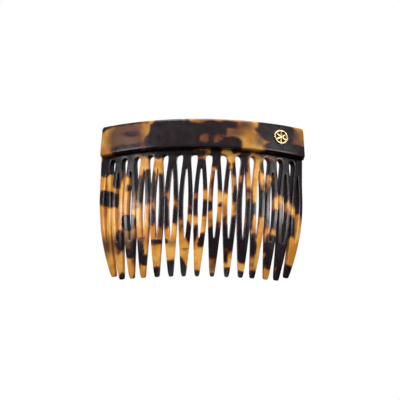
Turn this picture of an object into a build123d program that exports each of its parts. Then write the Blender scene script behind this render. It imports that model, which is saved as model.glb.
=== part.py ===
from build123d import *
import os
from math import asin, cos, degrees, radians, sin, sqrt, tan

# A curved side comb for the hair, in acetate, with a thick bar across its front and a round metal
# emblem on the bar. Millimetres. +Z is up and the teeth point down. The convex front faces -Y.
# The origin is in the middle of the plate's thickness, at the root line of the middle tooth.

# Comb plate: the spine and its teeth, one sheet
comb_radius = 64.0        # plan radius at mid thickness
plate_thickness = 3.0
tooth_count = 15
tooth_pitch = 5.65        # along the arc at mid thickness
tooth_length = 47.7       # root line to tip
end_tooth_shortfall = 1.4 # how much shorter the two end teeth are
tooth_clearance = 0.2     # between neighbours where they bow out most
root_gap = 2.4            # width of the gap at its round top
end_root_width = 2.7
bow_depth = 17.6          # root line to the widest place
tip_width = 1.5
tip_thickness = 2.0
tip_flat = 0.4            # what is left flat at the very tip
bend_start = 16.0         # depth where the teeth start to bend towards the head
tip_bend = 4.0            # how far the tips have bent in
eye_top = 5.4             # depth of the eye's ends
eye_bottom = 33.2
eye_width = 1.85
eye_end_radius = 0.22

# Header bar: bonded to the front of the spine
bar_overhang = 0.6
bar_height = 11.5
bar_thickness = 3.5
bar_lift = 1.65           # root line to the bar's lower edge, at the middle
bar_side_slope = 0.8      # how much further in each upper corner is
bar_bottom_arch = 0.6
bar_corner_radius = 1.4
bar_front_round = 0.9
spine_setback = 1.0       # how far the spine stops below the bar's top
spine_corner_radius = 2.0

# Emblem: a ring with six petals, held by two pins in blind holes
emblem_inset = 9.95
emblem_drop = 5.2
emblem_diameter = 5.6
emblem_ring_width = 0.62
emblem_thickness = 0.6
petal_count = 6
petal_width = 0.8
petal_root = 0.3          # emblem's centre to a petal's inner end
petal_overlap = 0.1       # how far a petal runs into the ring
emblem_boss_diameter = 1.1
pin_diameter = 0.6
pin_length = 1.8

pitch_angle = degrees(tooth_pitch / comb_radius)
end_angle = pitch_angle * (tooth_count - 1) / 2
plate_front_radius = comb_radius + plate_thickness / 2
bar_front_radius = plate_front_radius + bar_thickness
bar_top = bar_lift + bar_height
spine_top = bar_top - spine_setback
bow_half_width = (tooth_pitch - tooth_clearance) / 2
stem_half_width = (tooth_pitch - root_gap) / 2
bar_half_width = (plate_front_radius * sin(radians(end_angle)) + end_root_width * cos(radians(end_angle))
                  + bar_overhang)
emblem_angle = degrees(asin((bar_half_width - emblem_inset) / bar_front_radius))
emblem_lift = bar_top - emblem_drop
ring_inner_radius = emblem_diameter / 2 - emblem_ring_width
pin_offset = (emblem_diameter - emblem_ring_width) / 2
arc_centre = Vector(0, comb_radius, 0)
arc_axis = Axis((0, comb_radius, 0), (0, 0, 1))
spare = 2.0               # how far cutting shapes run past what they cut
below_tips = -tooth_length - spare
above_spine = spine_top + spare


# Upright plane through the arc's axis: x is the distance from the axis, y is up
def section_plane(angle):
    turn = radians(angle)
    return Plane(arc_centre, x_dir=(sin(turn), -cos(turn), 0), z_dir=(-cos(turn), -sin(turn), 0))


# Upright plane that faces outwards at this angle and distance from the axis
def facing_plane(angle, radius):
    turn = radians(angle)
    outward = Vector(sin(turn), -cos(turn), 0)
    return Plane(arc_centre + outward * radius, x_dir=(cos(turn), sin(turn), 0), z_dir=outward)


# Plan radius of the plate's middle at a depth below the root line, after the inward bend
def radius_at(depth):
    run = tooth_length - bend_start
    bend_radius = (run**2 + tip_bend**2) / (2 * tip_bend)
    past = min(max(depth - bend_start, 0), run)
    return comb_radius - (bend_radius - sqrt(bend_radius**2 - past**2))


# The two end teeth are shorter than the others
def length_of(tooth):
    return tooth_length - (end_tooth_shortfall if tooth in (0, tooth_count - 1) else 0)


# Depth and half width of a tooth, from below its round root down to the tip
def tooth_side(tooth):
    length = length_of(tooth)
    waist = stem_half_width
    bow = bow_half_width
    below = length - bow_depth
    return [
        (0.33 * bow_depth, waist + 0.46 * (bow - waist)),
        (0.61 * bow_depth, waist + 0.80 * (bow - waist)),
        (bow_depth, bow),
        (bow_depth + 0.26 * below, 0.965 * bow),
        (bow_depth + 0.45 * below, 0.86 * bow),
        (bow_depth + 0.65 * below, 0.68 * bow),
        (bow_depth + 0.84 * below, 0.49 * bow),
        (length - 0.7 * tip_width, 0.5 * tip_width),
        (length, 0.5 * tip_flat),
    ]


# One edge of a gap: its half of the round root, then down the side of the tooth beside it
def gap_edge(hand, tooth):
    half_turn = tan(radians(pitch_angle / 2))
    shoulder = (hand * root_gap / 2, -root_gap / 2)
    side = [(hand * (radius_at(depth) * half_turn - half), -depth) for depth, half in tooth_side(tooth)]
    TangentArc((0, 0), shoulder, tangent=(hand, 0))
    Spline(shoulder, *side, tangents=[(0, -1), (hand, -0.3)])
    Polyline(side[-1], (side[-1][0], below_tips), (0, below_tips))


# Plane behind the plate from which a cutting shape is pushed out through it
def through_plate(angle):
    return facing_plane(angle, comb_radius - plate_thickness - tip_bend - spare)


through_depth = 2 * plate_thickness + tip_bend + 2 * spare

with BuildPart() as comb_plate:
    # The bent sheet, before any cutting
    blank_angle = end_angle + pitch_angle
    with BuildSketch(section_plane(-blank_angle)) as sheet_section:
        front, back = comb_radius + plate_thickness / 2, comb_radius - plate_thickness / 2
        tip_front = comb_radius - tip_bend + tip_thickness / 2
        tip_back = tip_front - tip_thickness
        with BuildLine():
            Line((front, spine_top), (front, -bend_start))
            TangentArc((front, -bend_start), (tip_front, -tooth_length), tangent=(0, -1))
            Line((tip_front, -tooth_length), (tip_back, -tooth_length))
            TangentArc((back, -bend_start), (tip_back, -tooth_length), tangent=(0, -1))
            Line((back, -bend_start), (back, spine_top))
            Line((back, spine_top), (front, spine_top))
        make_face()
        fillet(sheet_section.vertices().group_by(Axis.Y)[0], radius=0.42 * tip_thickness)
    revolve(axis=arc_axis, revolution_arc=2 * blank_angle)

    # The outer sides of the spine and of the two end teeth, and what is below their tips
    for tooth, hand in ((0, -1), (tooth_count - 1, 1)):
        with BuildSketch(through_plate(hand * end_angle)) as end_cut:
            edge, outer = hand * end_root_width, hand * (tooth_pitch + spare)
            side = [(hand * half, -depth) for depth, half in tooth_side(tooth)]
            tip = side[-1]
            with BuildLine():
                Line((edge, above_spine), (edge, -root_gap / 2))
                Spline((edge, -root_gap / 2), *side[1:])
                Polyline(tip, (-tip[0], tip[1]), (-tip[0], below_tips), (outer, below_tips),
                         (outer, above_spine), (edge, above_spine))
            make_face()
        extrude(amount=through_depth, mode=Mode.SUBTRACT)
    spine_ends = comb_plate.edges().group_by(Axis.Z)[-1].filter_by(GeomType.LINE)
    fillet(spine_ends, radius=spine_corner_radius)

    # The gaps between the teeth
    for tooth in range(tooth_count - 1):
        with BuildSketch(through_plate(pitch_angle * (tooth + 0.5) - end_angle)) as gap_cut:
            with BuildLine():
                gap_edge(-1, tooth)
                gap_edge(1, tooth + 1)
            make_face()
        extrude(amount=through_depth, mode=Mode.SUBTRACT)

    # The long eye of each tooth
    for tooth in range(tooth_count):
        with BuildSketch(through_plate(pitch_angle * tooth - end_angle)) as eye_cut:
            widest = -bow_depth - 1.5
            upper = (eye_end_radius, -eye_top - eye_end_radius)
            lower = (eye_end_radius, -eye_bottom + eye_end_radius)
            with BuildLine():
                RadiusArc((0, -eye_top), upper, eye_end_radius)
                Spline(upper, (eye_width / 2, widest), lower, tangents=[(0.12, -1), (-0.12, -1)])
                RadiusArc(lower, (0, -eye_bottom), eye_end_radius)
                mirror(about=Plane.YZ)
            make_face()
        extrude(amount=through_depth, mode=Mode.SUBTRACT)
comb_plate.part.label = "comb_plate"

with BuildPart() as header_bar:
    bar_angle = end_angle + pitch_angle
    with BuildSketch(section_plane(-bar_angle)):
        with Locations((plate_front_radius + bar_thickness / 2, bar_lift + bar_height / 2)):
            Rectangle(bar_thickness, bar_height + 2 * spare)
    revolve(axis=arc_axis, revolution_arc=2 * bar_angle)

    # Its outline as seen from the front
    with BuildSketch(Plane.XZ) as bar_outline:
        half_top = bar_half_width - bar_side_slope
        bottom_end = bar_lift - bar_bottom_arch
        with BuildLine():
            Polyline((-bar_half_width, bottom_end), (-half_top, bar_top), (half_top, bar_top),
                     (bar_half_width, bottom_end))
            ThreePointArc((bar_half_width, bottom_end), (0, bar_lift), (-bar_half_width, bottom_end))
        make_face()
        fillet(bar_outline.vertices(), radius=bar_corner_radius)
    extrude(amount=comb_radius, both=True, mode=Mode.INTERSECT)

    front_face = header_bar.faces().filter_by(GeomType.CYLINDER).sort_by(Axis.Y)[0]
    fillet(front_face.edges(), radius=bar_front_round)

    # Blind holes for the emblem's pins
    with BuildSketch(facing_plane(emblem_angle, bar_front_radius - pin_length)):
        with Locations((-pin_offset, emblem_lift), (pin_offset, emblem_lift)):
            Circle(pin_diameter / 2)
    extrude(amount=pin_length + spare, mode=Mode.SUBTRACT)
header_bar.part.label = "header_bar"

with BuildPart() as emblem:
    # A curved skin on the bar's face, then the openwork that is left of it
    with BuildSketch(section_plane(emblem_angle - pitch_angle)):
        with Locations((bar_front_radius + emblem_thickness / 2, emblem_lift)):
            Rectangle(emblem_thickness, emblem_diameter + spare)
    revolve(axis=arc_axis, revolution_arc=2 * pitch_angle)
    with BuildSketch(facing_plane(emblem_angle, bar_front_radius - spare)):
        with Locations((0, emblem_lift)):
            Circle(emblem_diameter / 2)
            Circle(ring_inner_radius, mode=Mode.SUBTRACT)
            Circle(emblem_boss_diameter / 2)
            with PolarLocations((ring_inner_radius + petal_root) / 2, petal_count, start_angle=90):
                Ellipse((ring_inner_radius - petal_root) / 2 + petal_overlap, petal_width / 2)
    extrude(amount=2 * spare, mode=Mode.INTERSECT)
emblem.part.label = "emblem"

with BuildPart() as emblem_pins:
    # Each pin ends on the bar's curved face, where the emblem's back sits
    with BuildSketch(section_plane(emblem_angle - pitch_angle)):
        with Locations((bar_front_radius - pin_length, emblem_lift)):
            Rectangle(2 * pin_length, emblem_diameter)
    revolve(axis=arc_axis, revolution_arc=2 * pitch_angle)
    with BuildSketch(facing_plane(emblem_angle, bar_front_radius - pin_length)):
        with Locations((-pin_offset, emblem_lift), (pin_offset, emblem_lift)):
            Circle(pin_diameter / 2)
    extrude(amount=pin_length + spare, mode=Mode.INTERSECT)
emblem_pins.part.label = "emblem_pins"

os.makedirs("parts", exist_ok=True)
for piece in (comb_plate, header_bar, emblem, emblem_pins):
    export_step(piece.part, f"parts/{piece.part.label}.step")
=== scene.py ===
from math import asin, atan2, cos, pi, radians, sin, sqrt

import bmesh
import bpy
import numpy as np
from mathutils import Matrix, Vector


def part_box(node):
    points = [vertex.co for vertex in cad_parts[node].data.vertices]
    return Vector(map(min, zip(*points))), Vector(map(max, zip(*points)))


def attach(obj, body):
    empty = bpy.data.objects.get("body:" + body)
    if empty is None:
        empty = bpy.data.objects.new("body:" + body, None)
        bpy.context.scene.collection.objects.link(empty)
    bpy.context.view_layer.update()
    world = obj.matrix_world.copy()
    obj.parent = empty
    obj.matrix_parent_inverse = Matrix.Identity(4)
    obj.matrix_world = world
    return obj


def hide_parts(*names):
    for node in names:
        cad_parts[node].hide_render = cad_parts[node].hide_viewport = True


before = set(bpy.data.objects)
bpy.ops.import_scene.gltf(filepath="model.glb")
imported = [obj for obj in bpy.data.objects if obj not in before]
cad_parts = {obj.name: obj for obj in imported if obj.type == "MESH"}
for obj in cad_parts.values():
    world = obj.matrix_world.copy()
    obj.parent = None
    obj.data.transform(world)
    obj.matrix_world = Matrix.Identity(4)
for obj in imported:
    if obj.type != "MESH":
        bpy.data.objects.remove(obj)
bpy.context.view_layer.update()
mm = 0.001
near = 0.1  # mm, how close counts as being at a place

# the comb's plan curve and pitch, which every piece shares (mm)
comb = {
    "radius": 64.0,  # at the middle of the plate
    "pitch": 5.65,
    "toothCount": 15,
    "toothLength": 47.7,
}


def only(piece):  # select this piece alone and make it active
    if bpy.context.mode != "OBJECT":
        bpy.ops.object.mode_set(mode="OBJECT")
    bpy.ops.object.select_all(action="DESELECT")
    piece.select_set(True)
    bpy.context.view_layer.objects.active = piece


def edit(piece, kind="VERT"):  # go into edit mode to select by this kind
    only(piece)
    bpy.ops.object.mode_set(mode="EDIT")
    bpy.ops.mesh.select_mode(type=kind)


def finishEdit():
    bpy.ops.object.mode_set(mode="OBJECT")


def pick(piece, kind, test):  # select the verts, edges or faces for which the test holds
    cage = bmesh.from_edit_mesh(piece.data)
    for each in getattr(cage, kind):
        each.select = test(each)
    cage.select_flush_mode()
    bmesh.update_edit_mesh(piece.data)


def pickVerts(piece, test):  # the test is given the corner's place in mm
    pick(piece, "verts", lambda vert: test(vert.co / mm))


def pickEdges(piece, test):
    pick(piece, "edges", test)


def move(x=0.0, y=0.0, z=0.0, **more):  # mm
    bpy.ops.transform.translate(value=(x * mm, y * mm, z * mm), **more)


def scale(x=1.0, y=1.0, z=1.0, about=(0.0, 0.0, 0.0)):  # about is in mm
    bpy.ops.transform.resize(value=(x, y, z), center_override=[c * mm for c in about])


def applyModifier(piece, kind, **settings):
    only(piece)
    modifier = piece.modifiers.new(kind.lower(), kind)
    for name, value in settings.items():
        setattr(modifier, name, value)
    bpy.ops.object.modifier_apply(modifier=modifier.name)


def tidyNormals(piece, gap=0.002):
    edit(piece)
    bpy.ops.mesh.select_all(action="SELECT")
    bpy.ops.mesh.remove_doubles(threshold=gap * mm)
    bpy.ops.mesh.normals_make_consistent(inside=False)
    finishEdit()


def curveRound(piece):  # bend a piece that was made flat onto the comb's plan curve
    bpy.context.view_layer.update()
    applyModifier(piece, "SIMPLE_DEFORM", deform_method="BEND", deform_axis="Z",
                  angle=piece.dimensions.x / (comb["radius"] * mm))


def shadeSmooth(piece, angle=None):
    only(piece)
    if angle is None:
        bpy.ops.object.shade_smooth()
    else:
        bpy.ops.object.shade_smooth_by_angle(angle=radians(angle))


plate = {
    "thickness": 3.0,
    "tipThickness": 2.0,
    "rootGap": 2.4,
    "endHalves": (3.2, 2.3),  # an end tooth's centre line to its outer side, up at the spine
    "endShort": 1.4,
    "bowDepth": 17.6,
    "bendStart": 16.0,
    "tipBend": 4.0,
    "cornerRadius": 2.0,
    "edgeRound": 0.27,
    # the spine's rows: height above the teeth's root line, half width of one tooth's share
    "spineRows": [(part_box("comb_plate")[1].z / mm, 1.95), (6.5, 1.95), (1.6, 1.95), (-0.35, 1.98)],
    # depth, then half the eye and half the tooth at that depth
    "rows": [
        (1.2, 0, 1.52), (3.2, 0, 1.64), (4.9, 0, 1.82), (5.4, 0, 1.88), (5.8, 0.2, 1.93),
        (9.0, 0.50, 2.22), (13.5, 0.79, 2.56), (17.6, 0.92, 2.76), (21.5, 0.88, 2.74),
        (25.5, 0.72, 2.67), (29.5, 0.46, 2.47), (32.7, 0.22, 2.25), (33.2, 0, 2.2),
        (34.3, 0, 2.12), (38.0, 0, 1.87), (42.0, 0, 1.52), (45.3, 0, 1.22), (46.9, 0, 0.98),
        (47.55, 0, 0.66),
    ],
    "tipDepth": 45.2,  # what is deeper than this is the tip
    "lean": -0.87,  # how far aside all the tips lean
    "leanReach": 44.7,  # how far up from the tip the lean begins
    # how far each tip turns aside beyond that, and how far up that begins
    "tipAside": [1.9, 0.4, -0.2, -0.7, -0.25, 0, -0.4, -0.6, -0.2, 0.1, 0.25, -0.4, 0, -0.7, -1.5],
    "asideReach": 23.0,
}


def inwardBend(depth):  # the teeth bend towards the head on a wide arc
    run = comb["toothLength"] - plate["bendStart"]
    bendRadius = (run**2 + plate["tipBend"] ** 2) / (2 * plate["tipBend"])
    past = max(depth - plate["bendStart"], 0)
    return bendRadius - sqrt(bendRadius**2 - past**2)


def allRows():  # from the top of the spine to the tip
    return [(-height, 0, half) for height, half in plate["spineRows"]] + plate["rows"]


def makeHalfTooth():
    half = comb["pitch"] / 2
    gap = plate["rootGap"] / 2
    top, width = plate["spineRows"][0]
    below = plate["spineRows"][1][0]
    gapTop, gapSide = plate["spineRows"][-1]
    bpy.ops.mesh.primitive_plane_add(size=1, location=(width / 2 * mm, 0, (top + below) / 2 * mm),
                                     rotation=(pi / 2, 0, 0))
    tooth = bpy.context.object
    tooth.scale = (width * mm, (top - below) * mm, 1)
    bpy.ops.object.transform_apply(location=True, rotation=True, scale=True)

    edit(tooth)
    rows = allRows()
    lastDepth, lastIn, lastOut = rows[1]
    for depth, inner, outer in rows[2:]:
        pickVerts(tooth, lambda at: abs(at.z + lastDepth) < 0.01)
        bpy.ops.mesh.extrude_region_move()
        move(z=lastDepth - depth)
        middle = (lastIn + lastOut) / 2
        scale(x=(outer - inner) / (lastOut - lastIn), about=(middle, 0, 0))
        move(x=(inner + outer) / 2 - middle)
        lastDepth, lastIn, lastOut = depth, inner, outer

    # out to the middle of the gap, with the gap's round top below it
    pickVerts(tooth, lambda at: at.x > width - near and at.z > gapTop - near)
    bpy.ops.mesh.extrude_region_move()
    scale(x=0, about=(half, 0, 0))
    pickVerts(tooth, lambda at: at.x > half - 0.01 and at.z < 0)
    move(z=-gapTop)
    pickVerts(tooth, lambda at: abs(at.x - gapSide) < near and abs(at.z - gapTop) < near)
    move(x=half - gap * cos(pi / 4) - gapSide)

    # the inward bend of the lower part
    for depth, inner, outer in plate["rows"]:
        if depth > plate["bendStart"]:
            pickVerts(tooth, lambda at: abs(at.z + depth) < 0.01)
            move(y=inwardBend(depth))
    finishEdit()
    return tooth


def makeTooth():
    tooth = makeHalfTooth()
    applyModifier(tooth, "MIRROR", merge_threshold=0.01 * mm)
    return tooth


def trimEndTooth(tooth, hand):  # an end tooth has no half gap on its outer side, and is shorter
    edit(tooth)
    top, gapTop = plate["spineRows"][0][0], plate["spineRows"][-1][0]
    pickVerts(tooth, lambda at: at.x * hand > comb["pitch"] / 2 - near and at.z > gapTop - near)
    bpy.ops.mesh.delete(type="VERT")
    outer = plate["endHalves"][0 if hand < 0 else 1]
    for depth, inner, half in allRows():
        if half < outer and depth < plate["bowDepth"] + 1:
            pickVerts(tooth, lambda at: at.x * hand > 1.5 and abs(at.z + depth) < 0.01)
            scale(x=0, about=(hand * outer, 0, 0))
    pickVerts(tooth, lambda at: at.z < -plate["bowDepth"] - 1)
    below = comb["toothLength"] - plate["bowDepth"]
    scale(z=(below - plate["endShort"]) / below, about=(0, 0, -plate["bowDepth"]))
    pickVerts(tooth, lambda at: at.x * hand > 2 and at.z > top - near)
    bpy.ops.mesh.bevel(offset=plate["cornerRadius"] * mm, segments=3, affect="VERTICES",
                       clamp_overlap=False)
    finishEdit()


def isOutlineEdge(edge):  # between a broad face and a cut side
    if len(edge.link_faces) != 2:
        return False
    facing = sorted(abs(face.normal.y) for face in edge.link_faces)
    return facing[0] < 0.4 and facing[1] > 0.8


def makePlate():
    tooth = makeTooth()
    tooth.name = "toothPattern"
    teeth = []
    for place in range(comb["toothCount"]):
        copy = tooth.copy()
        copy.data = tooth.data.copy()
        bpy.context.collection.objects.link(copy)
        if place in (0, comb["toothCount"] - 1):
            trimEndTooth(copy, -1 if place == 0 else 1)
        edit(copy)
        pickVerts(copy, lambda at: at.z < -plate["tipDepth"])
        move(x=plate["lean"], use_proportional_edit=True, proportional_edit_falloff="LINEAR",
             proportional_size=plate["leanReach"] * mm)
        move(x=plate["tipAside"][place], use_proportional_edit=True,
             proportional_edit_falloff="SHARP", proportional_size=plate["asideReach"] * mm)
        bpy.ops.mesh.select_all(action="SELECT")
        move(x=(place - (comb["toothCount"] - 1) / 2) * comb["pitch"])
        finishEdit()
        teeth.append(copy)
    bpy.data.objects.remove(tooth)
    only(teeth[0])
    for copy in teeth:
        copy.select_set(True)
    bpy.ops.object.join()
    piece = bpy.context.object
    piece.name = "combPlate"
    tidyNormals(piece)

    # a smooth sheet that thins towards the tips
    applyModifier(piece, "SUBSURF", levels=1, render_levels=1)
    taper = piece.vertex_groups.new(name="taper")
    thin = plate["tipThickness"] / plate["thickness"]
    run = comb["toothLength"] - plate["bendStart"]
    for vert in piece.data.vertices:
        down = (-vert.co.z / mm - plate["bendStart"]) / run
        taper.add([vert.index], 1 - (1 - thin) * min(max(down, 0), 1), "REPLACE")
    applyModifier(piece, "SOLIDIFY", thickness=plate["thickness"] * mm, offset=0,
                  vertex_group="taper", use_even_offset=True)
    tidyNormals(piece)

    # ease every edge of the cut outline, front and back
    edit(piece, "EDGE")
    pickEdges(piece, isOutlineEdge)
    bpy.ops.mesh.bevel(offset=plate["edgeRound"] * mm, segments=2, affect="EDGES",
                       clamp_overlap=False)
    finishEdit()
    curveRound(piece)
    applyModifier(piece, "SUBSURF", levels=1, render_levels=1)
    shadeSmooth(piece)
    return piece


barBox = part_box("header_bar")
bar = {
    "halfWidth": barBox[1].x / mm,
    "top": barBox[1].z / mm,
    "middleBottom": 1.65,  # lower edge at the middle
    "backRadius": 65.5,
    "frontRadius": 68.99,
    "topInset": 0.8,  # how much further in the upper corners are
    "bottomArch": 0.6,
    "slices": 72,
    "rows": 10,
    "upperCorner": 2.0,
    "lowerCorner": 1.3,
    "frontRound": 0.8,
    "backRound": 0.3,
}


def isSlice(at, place, frontHalf, backHalf, front, back):  # the back is a little shorter
    half = frontHalf + (backHalf - frontHalf) * (at.y - front) / (back - front)
    return abs(at.x - place * half) < 0.02


def isCornerEdge(edge, isTop, frontHalf):  # from front to back at an end of the bar
    one, two = (vert.co / mm for vert in edge.verts)
    runsDeep = abs(one.y - two.y) > 1
    atEnd = min(abs(one.x), abs(two.x)) > frontHalf - 1.5
    isHigh = one.z > (bar["top"] + bar["middleBottom"]) / 2
    if not (runsDeep and atEnd and isHigh == isTop and len(edge.link_faces) == 2):
        return False
    return edge.calc_face_angle() > 0.8


def isRimEdge(edge, face):  # around the front or the back face
    if len(edge.link_faces) != 2:
        return False
    sign = -1 if face == "front" else 1
    facing = [sign * each.normal.y for each in edge.link_faces]
    return max(facing) > 0.98 and min(facing) < 0.75


def makeBar():
    radius = comb["radius"]
    frontHalf = radius * asin(bar["halfWidth"] / bar["frontRadius"])
    backHalf = radius * asin(bar["halfWidth"] / bar["backRadius"])
    front, back = radius - bar["frontRadius"], radius - bar["backRadius"]
    top, bottom = bar["top"], bar["middleBottom"]
    bpy.ops.mesh.primitive_cube_add(
        size=1, location=(0, (front + back) / 2 * mm, (top + bottom) / 2 * mm))
    piece = bpy.context.object
    piece.name = "headerBar"
    piece.scale = (2 * frontHalf * mm, (back - front) * mm, (top - bottom) * mm)
    bpy.ops.object.transform_apply(location=True, rotation=True, scale=True)

    # ends square to the comb's width once it is curved, and leaning in a little towards the top
    edit(piece)
    pickVerts(piece, lambda at: at.y > (front + back) / 2)
    scale(x=backHalf / frontHalf)
    pickVerts(piece, lambda at: at.z > bottom + 1)
    scale(x=1 - bar["topInset"] / bar["halfWidth"])

    # slices along the length, so that it can curve
    bpy.ops.mesh.select_mode(type="EDGE")
    pickEdges(piece, lambda edge: edge.calc_length() > frontHalf * mm)
    bpy.ops.mesh.subdivide(number_cuts=bar["slices"] - 1)
    pickEdges(piece, lambda edge: abs(edge.verts[0].co.z - edge.verts[1].co.z) > 5 * mm)
    bpy.ops.mesh.subdivide(number_cuts=bar["rows"] - 1)
    bpy.ops.mesh.select_mode(type="VERT")
    for count in range(bar["slices"] + 1):
        place = 2 * count / bar["slices"] - 1
        pickVerts(piece, lambda at: at.z < bottom + 0.5
                  and isSlice(at, place, frontHalf, backHalf, front, back))
        move(z=-bar["bottomArch"] * place**2)

    # round corners first, then the long edges
    bpy.ops.mesh.select_mode(type="EDGE")
    for isTop, corner in ((True, bar["upperCorner"]), (False, bar["lowerCorner"])):
        pickEdges(piece, lambda edge: isCornerEdge(edge, isTop, frontHalf))
        bpy.ops.mesh.bevel(offset=corner * mm, segments=7, affect="EDGES", clamp_overlap=False)
    for face, easing in (("front", bar["frontRound"]), ("back", bar["backRound"])):
        pickEdges(piece, lambda edge: isRimEdge(edge, face))
        bpy.ops.mesh.bevel(offset=easing * mm, segments=5, affect="EDGES", clamp_overlap=False)
    finishEdit()
    curveRound(piece)
    shadeSmooth(piece, 40)
    applyModifier(piece, "WEIGHTED_NORMAL", keep_sharp=True)
    return piece


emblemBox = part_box("emblem")
emblem = {
    "ringWidth": 0.56,
    "thickness": 0.6,
    "petals": 6,
    "petalWidth": 0.62,
    "petalRoot": 0.3,  # from the middle to where a petal begins
    "petalOverlap": 0.12,  # how far it runs into the ring
    "petalThickness": 0.516,
    "boss": 0.95,
    "bevel": 0.16,
}


def makeEmblem():
    low, high = emblemBox
    outerRadius = (high.z - low.z) / 2 / mm
    centreZ = (high.z + low.z) / 2 / mm
    middle = (low + high) / 2 / mm
    centreX = comb["radius"] * atan2(middle.x, comb["radius"] - middle.y)
    backY = comb["radius"] - bar["frontRadius"]
    innerRadius = outerRadius - emblem["ringWidth"]
    faceOn = (pi / 2, 0, 0)

    bpy.ops.mesh.primitive_cylinder_add(vertices=64, radius=outerRadius * mm,
                                        depth=emblem["thickness"] * mm, rotation=faceOn)
    ring = bpy.context.object
    bpy.ops.object.transform_apply(location=True, rotation=True, scale=True)
    edit(ring, "FACE")
    pick(ring, "faces", lambda face: abs(face.normal.y) > 0.9)
    bpy.ops.mesh.inset(thickness=emblem["ringWidth"] * mm, use_individual=True)
    bpy.ops.mesh.bridge_edge_loops()
    finishEdit()

    metal = [ring]
    petalMiddle = (innerRadius + emblem["petalRoot"]) / 2
    petalHalf = (innerRadius - emblem["petalRoot"]) / 2 + emblem["petalOverlap"]
    for turn in range(emblem["petals"]):
        bpy.ops.mesh.primitive_cylinder_add(vertices=28, radius=1 * mm,
                                            depth=emblem["petalThickness"] * mm, rotation=faceOn)
        petal = bpy.context.object
        bpy.ops.object.transform_apply(location=True, rotation=True, scale=True)
        edit(petal)
        bpy.ops.mesh.select_all(action="SELECT")
        scale(x=emblem["petalWidth"] / 2, z=petalHalf)
        move(z=petalMiddle)
        bpy.ops.transform.rotate(value=turn * 2 * pi / emblem["petals"], orient_axis="Y",
                                 center_override=(0, 0, 0))
        finishEdit()
        metal.append(petal)
    bpy.ops.mesh.primitive_cylinder_add(vertices=32, radius=emblem["boss"] / 2 * mm,
                                        depth=emblem["thickness"] * mm, rotation=faceOn)
    metal.append(bpy.context.object)
    bpy.ops.object.transform_apply(location=True, rotation=True, scale=True)
    for each in metal:
        edit(each, "EDGE")
        pickEdges(each, lambda edge: len(edge.link_faces) == 2 and edge.calc_face_angle() > 1)
        bpy.ops.mesh.bevel(offset=emblem["bevel"] * mm, segments=3, affect="EDGES",
                           clamp_overlap=False)
        finishEdit()
    only(ring)
    for each in metal:
        each.select_set(True)
    bpy.ops.object.join()
    piece = bpy.context.object
    piece.name = "emblemBadge"
    edit(piece)
    bpy.ops.mesh.select_all(action="SELECT")
    move(x=centreX, y=backY - emblem["thickness"] / 2, z=centreZ)
    finishEdit()
    curveRound(piece)
    shadeSmooth(piece, 50)
    return piece


shell = {
    "honey": (0.66, 0.262, 0.025),
    "paleHoney": (0.88, 0.48, 0.11),
    "rust": (0.17, 0.032, 0.010),
    "smoke": (0.105, 0.045, 0.024),
    "dark": (0.012, 0.006, 0.0085),
    "patternLean": 0.87,  # mm at the tips
    "boxy": 2.6,  # 2 makes round blotches
    "edgeWander": 2.2,  # mm, how ragged the blotches' edges are
    "fineWander": 0.35,
    "glow": 0.55,  # how much light goes in under the surface
    "glowReach": 2.2,  # mm
    "roughness": 0.22,
    # sizes of the noises in mm: ragged edges, their fine part, the amber's clouds, wear, soft waves
    "edgeGrain": 4.5,
    "fineGrain": 1.4,
    "amberGrain": 7,
    "wearGrain": 2.5,
    "waveGrain": 3.5,
    # mm inside a blotch's edge where each colour begins and where it is full
    "smokeEdge": (-1.6, 2.2),
    "rustEdge": (-0.8, 0.0),
    "darkEdge": (-0.45, 0.3),
    "smokeMost": 0.95,
}

# blotches: along the comb from its middle, up, half width, half height, tilt; mm and degrees
barDark = [
    (-39.2, 12.7, 2.2, 1.4, 20), (-30.5, 13.2, 7.5, 0.8, 0), (-28.6, 2.2, 6.8, 2.1, 0),
    (-27.2, 8.4, 2.5, 1.0, 0), (-16.4, 3.6, 4.6, 4.2, 0), (-10.2, 6.6, 9.0, 8.4, 0),
    (-2.4, 5.0, 2.6, 5.8, 0), (3.6, 9.2, 5.4, 3.0, 0), (4.6, 1.8, 6.6, 2.4, 0),
    (3.5, 6.0, 1.3, 3.0, 0), (10.0, 10.9, 3.8, 1.6, 0), (10.9, 3.6, 3.5, 2.6, 0),
    (27.8, 9.9, 7.4, 4.6, 0), (32.0, 3.0, 9.6, 3.0, 0), (38.0, 3.0, 4.0, 2.7, 0),
]
barLight = [
    (-7.0, 13.0, 1.1, 2.2, 0), (-2.0, 13.2, 3.2, 2.1, 0), (1.0, 5.0, 1.7, 2.0, 0),
    (5.6, 4.7, 1.1, 2.5, -30), (18.6, 2.6, 3.8, 3.6, 0), (21.8, 5.0, 2.0, 1.0, 0),
    (38.4, 10.6, 1.5, 2.8, 0), (0.8, 0.6, 2.6, 0.8, 0),
]
barSmoke = [
    (-29.2, 7.0, 7.6, 6.8, 0), (-27.4, 8.2, 3.6, 3.0, 0), (2.0, 12.4, 6.5, 1.8, 0),
    (1.4, 5.0, 2.8, 3.2, 0), (6.0, 4.8, 2.4, 3.2, 0), (11.5, 8.0, 4.4, 2.6, 0),
    (15.0, 11.2, 3.4, 2.6, 0), (21.6, 5.2, 2.8, 2.2, 0), (34.8, 8.8, 3.6, 4.4, 0),
    (30.8, 3.4, 1.4, 2.2, 0), (-21.6, 2.6, 2.2, 2.2, 0), (38.0, 6.6, 2.0, 1.6, 0),
]
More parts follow.
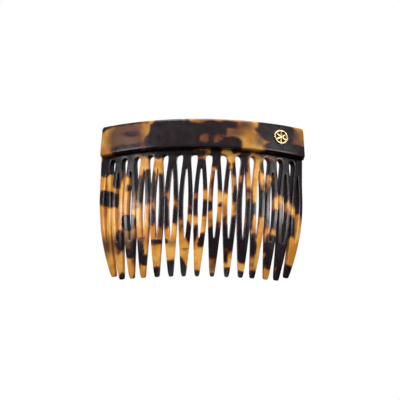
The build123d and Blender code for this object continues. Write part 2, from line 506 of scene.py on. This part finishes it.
plateDarkAndShadow = [
    (-31, 6, 5, 6, 0), (-10, 6, 9.5, 6, 0), (17, 6, 3, 6, 0), (35, 6, 7, 6.5, 0), (3, 8, 5, 3, 0),
    # the four bands on the line below, just under the bar, are painted shadow cast by the bar; the
    # other entries are the shell's own dark blotches
    (-22, 2.2, 16, 2.0, 0), (10, 2.2, 5.5, 1.6, 0), (28, 2.2, 8, 1.7, 0), (-10, 0.3, 9.2, 1.7, 0),
    (-39.3, -2.0, 3.2, 4.6, -20), (-38.6, -15.6, 4.8, 3.0, -18), (-34.3, -4.0, 2.2, 6.6, 0),
    (-32.6, -33.2, 1.6, 3.7, 0), (-32.3, -47.2, 1.7, 2.0, -20), (-28.2, -3.0, 2.4, 4.6, 0),
    (-26.8, -9.5, 1.2, 8.0, 0), (-28.8, -12.3, 0.5, 0.9, 0), (-28.5, -26.1, 3.0, 2.9, 0),
    (-26.4, -37.5, 1.0, 3.6, 0), (-28.3, -38.4, 2.3, 1.4, -20), (-27.0, -47.4, 0.8, 1.2, -20),
    (-21.3, -7.0, 0.8, 1.2, 0), (-24.2, -14.6, 1.2, 4.2, 0), (-21.0, -13.8, 1.4, 4.8, 0),
    (-24.1, -38.5, 1.4, 4.6, -10), (-22.0, -41.2, 1.7, 1.7, 0), (-18.8, -12.0, 1.0, 6.6, 0),
    (-15.6, -12.2, 1.3, 4.0, 0), (-18.6, -23.4, 0.9, 3.2, 0), (-15.2, -23.4, 1.2, 5.6, 0),
    (-16.4, -34.4, 2.3, 0.6, 0), (-17.1, -46.4, 1.8, 2.2, 0), (-10.5, -4.6, 2.0, 6.4, 0),
    (-13.0, -9.0, 1.3, 6.8, 0), (-13.4, -22.8, 1.4, 5.4, 0), (-9.3, -12.0, 1.4, 7.2, 0),
    (-9.4, -23.6, 1.2, 3.6, 0), (-13.1, -34.4, 0.9, 0.9, 0), (-11.2, -45.2, 2.4, 3.0, 0),
    (-5.7, -3.5, 2.3, 7.0, 0), (-7.4, -14.5, 1.5, 11.0, 0), (-3.9, -13.0, 1.5, 9.2, 0),
    (-4.1, -31.6, 1.2, 3.4, 10), (-4.6, -37.6, 0.8, 0.3, 0), (-6.6, -44.8, 1.7, 3.6, 15),
    (0.0, -5.0, 2.1, 2.6, 0), (-1.7, -10.2, 1.4, 5.4, 0), (1.6, -9.0, 1.5, 5.0, 0),
    (-1.8, -21.0, 1.1, 3.1, 0), (1.8, -21.3, 1.1, 2.6, 0), (-1.7, -31.2, 1.1, 3.2, -12),
    (1.0, -34.3, 1.4, 2.2, 0), (-0.7, -47.2, 1.6, 1.5, 0), (5.5, -2.0, 2.0, 3.6, 0),
    (4.6, -14.5, 0.4, 4.0, 0), (3.8, -21.0, 1.0, 1.6, 0), (7.4, -7.6, 1.5, 6.4, 0),
    (7.4, -20.4, 0.8, 0.7, 0), (5.6, -35.0, 3.0, 6.6, 0), (5.4, -47.6, 1.3, 0.9, 0),
    (9.6, -8.0, 1.3, 5.8, 0), (13.2, -6.0, 1.5, 3.0, 0), (13.3, -16.4, 1.0, 3.2, 0),
    (9.7, -32.5, 1.3, 5.8, 0), (12.6, -31.0, 1.8, 7.4, -6), (10.4, -39.6, 0.9, 2.3, 0),
    (11.3, -46.5, 1.7, 1.8, 0), (15.9, -3.0, 1.7, 4.2, 0), (15.4, -20.6, 1.3, 8.0, 0),
    (18.8, -23.0, 1.3, 7.4, 0), (17.0, -34.6, 2.8, 6.3, 0), (17.0, -46.8, 1.6, 1.6, 0),
    (20.8, -20.8, 1.2, 1.8, 0), (23.8, -4.8, 1.0, 1.7, 0), (24.2, -18.0, 1.5, 5.8, 0),
    (21.1, -35.6, 1.2, 5.2, 0), (21.9, -46.8, 1.7, 1.9, 0), (27.2, -4.4, 2.0, 2.8, 10),
    (26.8, -18.8, 1.5, 7.4, 0), (29.8, -8.0, 1.2, 6.4, 0), (29.8, -24.5, 1.5, 3.8, 0),
    (28.6, -35.0, 2.8, 4.4, -10), (28.5, -38.0, 2.3, 5.2, -6), (33.8, -7.4, 3.4, 8.4, 0),
    (32.3, -30.0, 1.9, 9.8, 0), (34.8, -31.0, 1.6, 9.0, 0), (33.0, -45.5, 2.2, 2.6, 0),
    (33.6, -40.8, 2.0, 3.4, 0), (39.2, -7.5, 3.6, 10.6, -6), (41.6, -17.0, 1.2, 5.0, 0),
    (37.0, -26.2, 2.2, 4.0, 12), (37.9, -44.4, 2.3, 3.2, 0),
]
plateLight = [
    (-23.2, -0.9, 3.0, 1.3, 0), (9.0, 0.6, 3.0, 1.6, 0), (11.1, -1.6, 1.3, 2.4, 0),
    (21.4, -1.2, 1.9, 1.8, 0), (26.4, -38.5, 0.9, 1.3, 0), (31.5, -43.3, 0.7, 1.3, 0),
    (15.1, -9.6, 1.1, 2.2, 0), (-35.0, -17.0, 0.5, 0.5, 0),
]
plateSmoke = [
    (-39.3, -34.6, 2.8, 4.2, 0), (-35.2, -33.8, 1.4, 3.0, 0), (-28.4, -33.6, 3.0, 5.2, 0),
    (-15.6, -31.6, 1.5, 2.6, 0), (-12.3, -3.0, 1.3, 2.6, 0), (-11.2, -35.0, 2.4, 1.3, 0),
    (-7.6, -27.8, 1.0, 2.8, 0), (-0.2, -1.4, 1.8, 1.4, 0), (4.1, -12.0, 0.9, 4.6, 0),
    (5.5, -43.8, 1.9, 3.0, 0), (13.0, -11.0, 1.1, 2.4, 0), (9.6, -22.0, 0.9, 1.4, 0),
    (17.8, -4.2, 1.0, 2.2, 0), (26.8, -1.0, 2.6, 1.2, 0), (30.6, -26.2, 1.6, 2.4, 0),
    (32.0, -42.6, 0.9, 1.8, 0), (40.6, -1.8, 1.2, 1.3, 0), (5.0, -26.8, 2.6, 1.8, 0),
]


def depthInside(along, up, blotches):  # mm inside the nearest blotch, negative outside them all
    best = np.full(len(along), -6.0)
    for middle, height, halfWide, halfHigh, tilt in blotches:
        turnCos, turnSin = cos(radians(tilt)), sin(radians(tilt))
        aside, above = along - middle, up - height
        across = np.abs(aside * turnCos + above * turnSin) / halfWide
        upright = np.abs(above * turnCos - aside * turnSin) / halfHigh
        reach = (across ** shell["boxy"] + upright ** shell["boxy"]) ** (1 / shell["boxy"])
        best = np.maximum(best, (1 - reach) * min(halfWide, halfHigh))
    return best


def layPattern(piece, dark, light, smoke):
    points = np.array([vert.co for vert in piece.data.vertices]) / mm
    along = comb["radius"] * np.arctan2(points[:, 0], comb["radius"] - points[:, 1])
    up = points[:, 2]
    along = along + shell["patternLean"] * np.clip(-up, 0, None) / comb["toothLength"]
    darkness = np.minimum(depthInside(along, up, dark), -depthInside(along, up, light))
    for name, values in (("darkness", darkness), ("smokiness", depthInside(along, up, smoke))):
        layer = piece.data.attributes.new(name, "FLOAT", "POINT")
        layer.data.foreach_set("value", values.astype(np.float32))


def addNode(tree, kind, inputs=(), **settings):
    node = tree.nodes.new("ShaderNode" + kind)
    for name, value in settings.items():
        setattr(node, name, value)
    for name, value in inputs:
        if hasattr(value, "is_output"):
            tree.links.new(value, node.inputs[name])
        else:
            node.inputs[name].default_value = value
    return node


def varyRoughness(tree, grain, least, most):
    spread = addNode(tree, "MapRange", (("Value", grain), ("From Min", 0.3), ("From Max", 0.7),
                                        ("To Min", least), ("To Max", most)))
    tree.links.new(spread.outputs["Result"], tree.nodes["Principled BSDF"].inputs["Roughness"])


def addBump(tree, grain, strength, depth):  # depth in mm
    bump = addNode(tree, "Bump", (("Height", grain), ("Strength", strength),
                                  ("Distance", depth * mm)))
    tree.links.new(bump.outputs["Normal"], tree.nodes["Principled BSDF"].inputs["Normal"])


def makeShell(name, depth):  # depth is how much darker than honey its amber is: painted shade, for a part that gets less light
    material = bpy.data.materials.new(name)
    material.use_nodes = True
    tree = material.node_tree
    shader = tree.nodes["Principled BSDF"]
    place = addNode(tree, "TexCoord").outputs["Object"]

    def noise(size, detail):  # size of its features in mm
        return addNode(tree, "TexNoise", (("Vector", place), ("Scale", 1 / (size * mm)),
                                          ("Detail", detail), ("Roughness", 0.55))).outputs["Fac"]

    def sums(kind, one, two):
        return addNode(tree, "Math", ((0, one), (1, two)), operation=kind).outputs[0]

    def soften(value, low, high):
        return addNode(tree, "MapRange", (("Value", value), ("From Min", low), ("From Max", high)),
                       interpolation_type="SMOOTHSTEP").outputs["Result"]

    def blend(share, one, two):
        colours = [c if hasattr(c, "is_output") else (*c, 1) for c in (one, two)]
        return addNode(tree, "Mix", ((0, share), (6, colours[0]), (7, colours[1])),
                       data_type="RGBA").outputs[2]

    def laid(name):  # what layPattern left on the piece, with its edges made ragged
        layer = addNode(tree, "Attribute", attribute_name=name).outputs["Fac"]
        return sums("ADD", layer, wander)

    coarse = sums("MULTIPLY", sums("SUBTRACT", noise(shell["edgeGrain"], 1), 0.5), shell["edgeWander"])
    fine = sums("MULTIPLY", sums("SUBTRACT", noise(shell["fineGrain"], 1), 0.5), shell["fineWander"])
    wander = sums("ADD", coarse, fine)
    darkness, smokiness = laid("darkness"), laid("smokiness")

    # darkening the amber by depth is painted shade, not a deeper colour of the acetate
    honey, paleHoney = ([part * (1 - depth) for part in shell[shade]]
                        for shade in ("honey", "paleHoney"))
    amber = blend(soften(noise(shell["amberGrain"], 3), 0.36, 0.66), honey, paleHoney)
    isSmoky = sums("MULTIPLY", soften(smokiness, *shell["smokeEdge"]), shell["smokeMost"])
    clouded = blend(isSmoky, amber, shell["smoke"])
    rimmed = blend(soften(darkness, *shell["rustEdge"]), clouded, shell["rust"])
    isDark = soften(darkness, *shell["darkEdge"])
    tree.links.new(blend(isDark, rimmed, shell["dark"]), shader.inputs["Base Color"])
    # light goes in under the amber only
    glow = sums("MULTIPLY", sums("SUBTRACT", 1, isDark), shell["glow"])
    tree.links.new(glow, shader.inputs["Subsurface Weight"])
    worn = noise(shell["wearGrain"], 4)
    varyRoughness(tree, worn, shell["roughness"] - 0.05, shell["roughness"] + 0.06)
    addBump(tree, noise(shell["waveGrain"], 3), 0.12, 0.2)
    shader.inputs["IOR"].default_value = 1.49
    shader.inputs["Subsurface Radius"].default_value = (1.0, 0.42, 0.12)
    shader.inputs["Subsurface Scale"].default_value = shell["glowReach"] * mm
    return material


gold = {
    "colour": (0.94, 0.70, 0.36),
    "roughness": 0.2,
    "grain": 0.35,  # mm
}


def makeGold():
    material = bpy.data.materials.new("paleGold")
    material.use_nodes = True
    tree = material.node_tree
    shader = tree.nodes["Principled BSDF"]
    shader.inputs["Base Color"].default_value = (*gold["colour"], 1)
    shader.inputs["Metallic"].default_value = 1.0
    place = addNode(tree, "TexCoord").outputs["Object"]
    noise = addNode(tree, "TexNoise", (("Vector", place), ("Scale", 1 / (gold["grain"] * mm)),
                                       ("Detail", 3)))
    grain = noise.outputs["Fac"]
    varyRoughness(tree, grain, gold["roughness"] - 0.06, gold["roughness"] + 0.1)
    addBump(tree, grain, 0.1, 0.03)
    return material


def paint(piece, material):
    piece.data.materials.clear()
    piece.data.materials.append(material)


cameraPlace = {
    "aim": (0.0, 0.0, -18.0),  # mm
    "distance": 483.3,
    "azimuth": 1.06,  # degrees, to the emblem's side
    "elevation": -13.76,
    "roll": 0.741,
    "lens": 112.7,
    "shiftX": -0.0035,
    "shiftY": -0.002,
}


def makeCamera():
    data = bpy.data.cameras.new("camera")
    camera = bpy.data.objects.new("camera", data)
    bpy.context.collection.objects.link(camera)
    turn, lift = radians(cameraPlace["azimuth"]), radians(cameraPlace["elevation"])
    away = Vector((sin(turn) * cos(lift), -cos(turn) * cos(lift), sin(lift)))
    aim = Vector(cameraPlace["aim"]) * mm
    roll = Matrix.Rotation(radians(cameraPlace["roll"]), 3, "Z")
    look = (-away).to_track_quat("-Z", "Y").to_matrix() @ roll
    spot = aim + away * cameraPlace["distance"] * mm
    camera.matrix_world = Matrix.Translation(spot) @ look.to_4x4()
    data.lens = cameraPlace["lens"]
    data.sensor_width = 36
    data.shift_x, data.shift_y = cameraPlace["shiftX"], cameraPlace["shiftY"]
    data.clip_start, data.clip_end = 0.01, 20
    bpy.context.scene.camera = camera


studio = {
    "floorDrop": -165.0,  # mm below the origin
    "floorRadius": 2500.0,
    "floorColour": (0.86, 0.86, 0.85),
    "floorLift": 0.45,  # keeps it pale far from the lights
    # what the comb reflects: share of the way from straight down to straight up, brightness there
    "sky": [(0.40, 0.02), (0.62, 0.2), (0.95, 0.55)],
    # where each soft box hangs (mm), its width and height, and its power
    "boxes": [
        ("leftBox", (-585, -440, 66), 330, 130, 1.7),
        ("rightBox", (585, -440, 74), 330, 130, 1.3),
        ("lowBox", (0, -215, -150), 300, 60, 0.08),
        ("frontBox", (0, -560, 495), 800, 200, 4.4),
        ("topBox", (0, -60, 650), 600, 400, 3.0),
        ("backBox", (0, 700, 260), 700, 500, 1.6),
    ],
}


def makeSoftBox(name, place, width, height, power):
    data = bpy.data.lights.new(name, "AREA")
    data.shape = "RECTANGLE"
    data.size, data.size_y = width * mm, height * mm
    data.energy = power
    light = bpy.data.objects.new(name, data)
    bpy.context.collection.objects.link(light)
    spot = Vector(place) * mm
    aim = Vector(cameraPlace["aim"]) * mm
    look = (aim - spot).to_track_quat("-Z", "Y").to_matrix()
    light.matrix_world = Matrix.Translation(spot) @ look.to_4x4()


def makeWorld():  # plain white behind the comb, softly shaded for what it reflects
    world = bpy.data.worlds.new("studio")
    bpy.context.scene.world = world
    world.use_nodes = True
    nodes, links = world.node_tree.nodes, world.node_tree.links
    nodes.clear()
    output = nodes.new("ShaderNodeOutputWorld")
    seen, lit = nodes.new("ShaderNodeBackground"), nodes.new("ShaderNodeBackground")
    mix, path = nodes.new("ShaderNodeMixShader"), nodes.new("ShaderNodeLightPath")
    coords, split = nodes.new("ShaderNodeTexCoord"), nodes.new("ShaderNodeSeparateXYZ")
    ramp, spread = nodes.new("ShaderNodeValToRGB"), nodes.new("ShaderNodeMapRange")
    spread.inputs["From Min"].default_value = -1
    links.new(coords.outputs["Generated"], split.inputs[0])
    links.new(split.outputs["Z"], spread.inputs["Value"])
    links.new(spread.outputs["Result"], ramp.inputs["Fac"])
    for place, grey in studio["sky"]:
        stop = ramp.color_ramp.elements.new(place)
        stop.color = (grey, grey, grey, 1)
    ramp.color_ramp.elements.remove(ramp.color_ramp.elements[0])
    ramp.color_ramp.elements.remove(ramp.color_ramp.elements[-1])
    links.new(ramp.outputs["Color"], lit.inputs["Color"])
    seen.inputs["Color"].default_value = (1, 1, 1, 1)
    links.new(path.outputs["Is Camera Ray"], mix.inputs["Fac"])
    links.new(lit.outputs["Background"], mix.inputs[1])
    links.new(seen.outputs["Background"], mix.inputs[2])
    links.new(mix.outputs["Shader"], output.inputs["Surface"])


def makeFloor():
    bpy.ops.mesh.primitive_circle_add(vertices=96, radius=studio["floorRadius"] * mm,
                                      fill_type="NGON", location=(0, 0, studio["floorDrop"] * mm))
    floor = bpy.context.object
    floor.name = "floor"
    material = bpy.data.materials.new("floorPaint")
    material.use_nodes = True
    shader = material.node_tree.nodes["Principled BSDF"]
    shader.inputs["Base Color"].default_value = (*studio["floorColour"], 1)
    shader.inputs["Roughness"].default_value = 0.8
    shader.inputs["Emission Color"].default_value = (1, 1, 1, 1)
    shader.inputs["Emission Strength"].default_value = studio["floorLift"]
    paint(floor, material)
    floor.visible_diffuse = floor.visible_glossy = False  # it takes shadows but throws no light up


bpy.context.scene.view_settings.view_transform = "Standard"
makeCamera()
makeWorld()
makeFloor()
for box in studio["boxes"]:
    makeSoftBox(*box)
print("stage: camera")
plateObject = makePlate()
print("stage: comb plate", len(plateObject.data.polygons))
barObject = makeBar()
print("stage: header bar", len(barObject.data.polygons))
emblemObject = makeEmblem()
print("stage: emblem", len(emblemObject.data.polygons))
# the plate's darkness holds its own dark blotches and the painted shadow under the bar
layPattern(plateObject, plateDarkAndShadow, plateLight, plateSmoke)
layPattern(barObject, barDark, barLight, barSmoke)
goldMaterial = makeGold()
for piece, node, material, slot in (
    (plateObject, "comb_plate", makeShell("plateShell", 0), "plate_acetate"),
    # the bar is the same acetate as the plate; its amber is darkened by 0.3 as painted shade, since
    # the bar gets less light
    (barObject, "header_bar", makeShell("barShellPaintedShade", 0.3), "bar_acetate"),
    (emblemObject, "emblem", goldMaterial, "gold_tone_metal"),
):
    paint(piece, material)
    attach(piece, "root")
    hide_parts(node)
paint(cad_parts["emblem_pins"], goldMaterial)
print("stage: materials")
